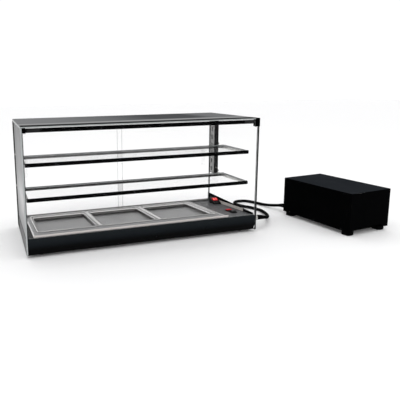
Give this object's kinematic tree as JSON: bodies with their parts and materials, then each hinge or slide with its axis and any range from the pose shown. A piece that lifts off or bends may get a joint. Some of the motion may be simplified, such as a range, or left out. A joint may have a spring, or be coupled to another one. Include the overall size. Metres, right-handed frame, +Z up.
{
  "type": "food display case with remote unit",
  "caption": "Countertop glass food display case with shelves, lift-out trays, hinged front glass, sliding rear doors and a remote fan unit on a black hose.",
  "frame": {"origin": "middle of the footprint of case and remote unit together, on the counter they stand on", "axes": "+X along the case's width towards the remote unit, +Y from the glass front to the sliding doors, +Z up"},
  "size_m": [1.567, 0.6904, 0.507],
  "materials": {
    "black_gloss": "gloss black enamel",
    "black_sheet": "fine matte black powder coat",
    "deck_enamel": "satin dark grey enamel",
    "stainless": "bright satin stainless",
    "clear_glass": "clear tempered, polished edges",
    "acrylic": "clear, polished",
    "smoked_glass": "grey tinted tempered",
    "anodised": "satin anodised",
    "black_plastic": "fine texture",
    "rubber": "matte",
    "opal": "opal diffuser",
    "red_plastic": "translucent red",
    "nickel": "nickel plated",
    "fins": "bare mill finish"
  },
  "bodies": {
    "case": {"base_tub": "black_sheet", "front_fascia": "black_gloss", "side_wall_trim": "anodised", "deck_plate": "deck_enamel", "well_pan": "stainless", "thermostat_body": "black_plastic", "thermostat_window": "red_plastic", "switch_plate": "black_plastic", "foot_front_left": "rubber", "foot_front_right": "rubber", "foot_rear_left": "rubber", "foot_rear_right": "rubber", "side_glass_left": "clear_glass", "side_glass_right": "clear_glass", "top_glass": "smoked_glass", "corner_cap_left": "black_sheet", "corner_cap_right": "black_sheet", "light_profile": "black_sheet", "light_diffuser": "opal", "shelf_glass_lower": "clear_glass", "shelf_front_bar_lower": "black_sheet", "shelf_rear_bar_lower": "black_sheet", "shelf_glass_upper": "clear_glass", "shelf_front_bar_upper": "black_sheet", "shelf_rear_bar_upper": "black_sheet", "shelf_arm_lower_left": "nickel", "shelf_arm_lower_right": "nickel", "shelf_arm_upper_left": "nickel", "shelf_arm_upper_right": "nickel", "rear_post_left": "anodised", "post_cover_left": "black_plastic", "rear_post_right": "anodised", "post_cover_right": "black_plastic", "rear_bottom_track": "anodised", "rear_top_track": "black_sheet", "hose_gland": "nickel", "unit_chassis": "black_sheet", "unit_cover": "black_sheet", "unit_fan_guard": "black_sheet", "unit_heat_exchanger": "fins", "unit_mains_inlet": "black_plastic", "unit_foot_front_left": "rubber", "unit_foot_front_right": "rubber", "unit_foot_rear_left": "rubber", "unit_foot_rear_right": "rubber", "unit_hose_gland": "nickel", "hose": "rubber"},
    "front_glass": {"front_glass": "clear_glass"},
    "door_left": {"door_left": "clear_glass", "door_pull_left": "acrylic"},
    "door_right": {"door_right": "clear_glass", "door_pull_right": "acrylic"},
    "tray_left": {"tray_left": "stainless"},
    "tray_centre": {"tray_centre": "stainless"},
    "tray_right": {"tray_right": "stainless"},
    "power_rocker": {"power_rocker": "red_plastic"},
    "light_rocker": {"light_rocker": "black_plastic"},
    "thermostat_button_1": {"thermostat_button_1": "black_plastic"},
    "thermostat_button_2": {"thermostat_button_2": "black_plastic"},
    "fan": {"unit_fan_rotor": "black_plastic"}
  },
  "joints": [
    {"name": "front_glass_hinge", "type": "hinge", "parent": "case", "child": "front_glass", "pos_m": [-0.28345, -0.1232, 0.496], "axis": [-1, 0, 0], "range_deg": [0, 80]},
    {"name": "door_left_slide", "type": "slide", "parent": "case", "child": "door_left", "axis": [1, 0, 0], "range_m": [0, 0.47]},
    {"name": "door_right_slide", "type": "slide", "parent": "case", "child": "door_right", "axis": [-1, 0, 0], "range_m": [0, 0.47]},
    {"name": "tray_left_lift", "type": "slide", "parent": "case", "child": "tray_left", "axis": [0, 0.0715, 0.9974], "range_m": [0, 0.1]},
    {"name": "tray_centre_lift", "type": "slide", "parent": "case", "child": "tray_centre", "axis": [0, 0.0715, 0.9974], "range_m": [0, 0.1]},
    {"name": "tray_right_lift", "type": "slide", "parent": "case", "child": "tray_right", "axis": [0, 0.0715, 0.9974], "range_m": [0, 0.1]},
    {"name": "power_rocker_tilt", "type": "hinge", "parent": "case", "child": "power_rocker", "pos_m": [0.15455, 0.009, 0.07332], "axis": [1, 0, 0], "range_deg": [0, 16]},
    {"name": "light_rocker_tilt", "type": "hinge", "parent": "case", "child": "light_rocker", "pos_m": [0.15455, -0.03189, 0.07625], "axis": [1, 0, 0], "range_deg": [0, 16]},
    {"name": "thermostat_button_1_press", "type": "slide", "parent": "case", "child": "thermostat_button_1", "axis": [0, 0.3321, -0.9432], "range_m": [0, 0.001], "stiffness_N_per_m": 250},
    {"name": "thermostat_button_2_press", "type": "slide", "parent": "case", "child": "thermostat_button_2", "axis": [0, 0.3321, -0.9432], "range_m": [0, 0.001], "stiffness_N_per_m": 250},
    {"name": "fan_spin", "type": "hinge", "parent": "case", "child": "fan", "pos_m": [0.65928, 0.07201, 0.104], "axis": [-0.1123, 0.9937, 0], "continuous": true}
  ]
}
